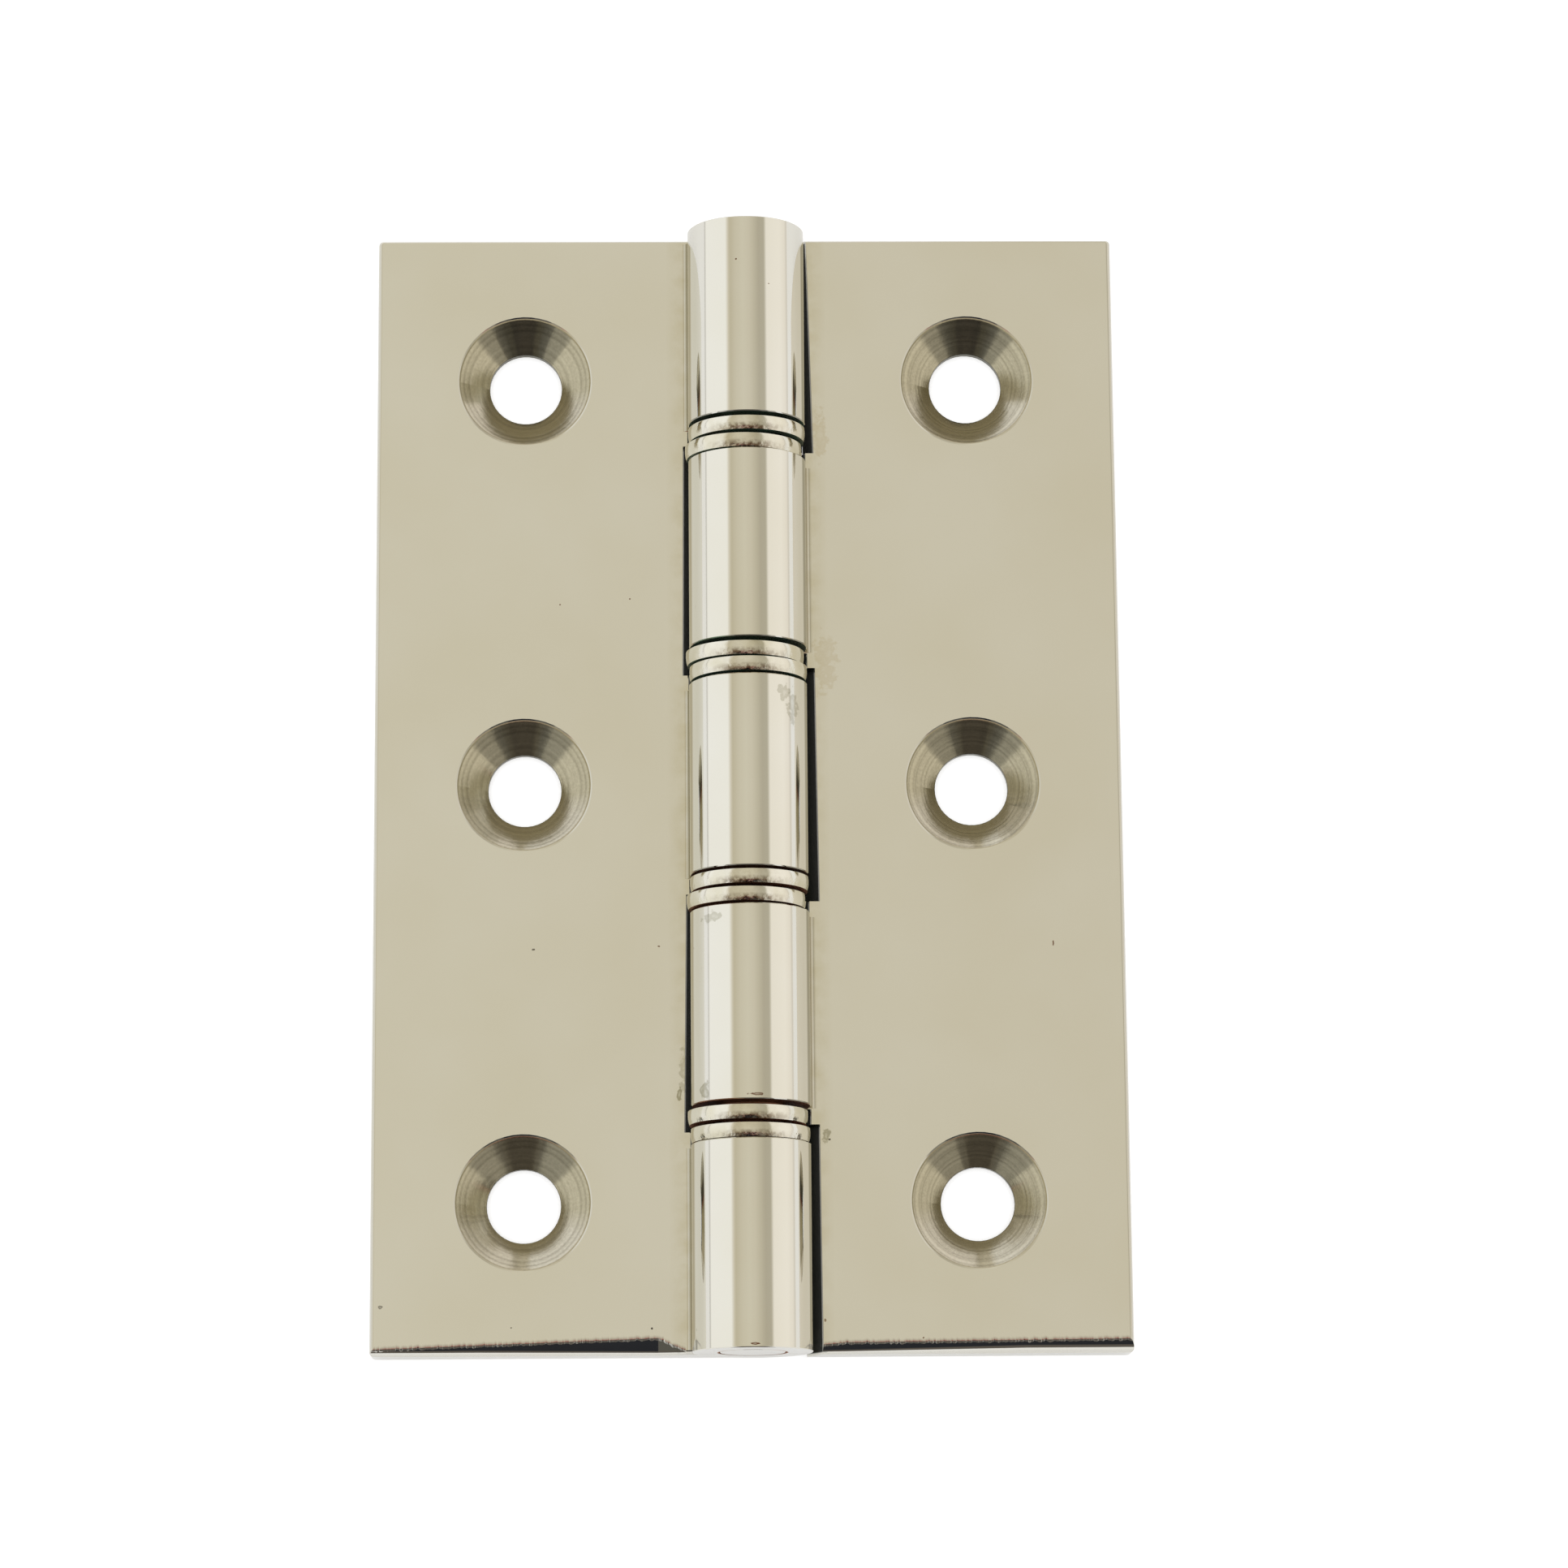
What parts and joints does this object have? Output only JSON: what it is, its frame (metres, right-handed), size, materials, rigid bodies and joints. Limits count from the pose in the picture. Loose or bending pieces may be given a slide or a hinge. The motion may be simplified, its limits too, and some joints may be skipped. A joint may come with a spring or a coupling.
{
  "type": "washered butt hinge",
  "caption": "Double washered butt hinge in polished nickel, lying open flat, with countersunk screw holes in both leaves and loose washers between the knuckles.",
  "frame": {"origin": "middle of the hinge pin, on its axis", "axes": "+Y along the pin, +X across the open leaves towards the leaf with two knuckles, +Z out of the countersunk faces; the hinge lies on its back"},
  "size_m": [0.05, 0.076, 0.0078],
  "materials": {
    "nickel_plate": "polished",
    "nickel_washer": "polished"
  },
  "bodies": {
    "left": {"left_leaf": "nickel_plate", "hinge_pin": "nickel_plate", "washer_1_upper": "nickel_washer", "washer_2_lower": "nickel_washer", "washer_3_upper": "nickel_washer", "washer_4_lower": "nickel_washer"},
    "right": {"right_leaf": "nickel_plate", "washer_1_lower": "nickel_washer", "washer_2_upper": "nickel_washer", "washer_3_lower": "nickel_washer", "washer_4_upper": "nickel_washer"}
  },
  "joints": [
    {"name": "leaf_hinge", "type": "hinge", "parent": "left", "child": "right", "pos_m": [0, 0, 0], "axis": [0, -1, 0], "range_deg": [-75, 180]}
  ]
}
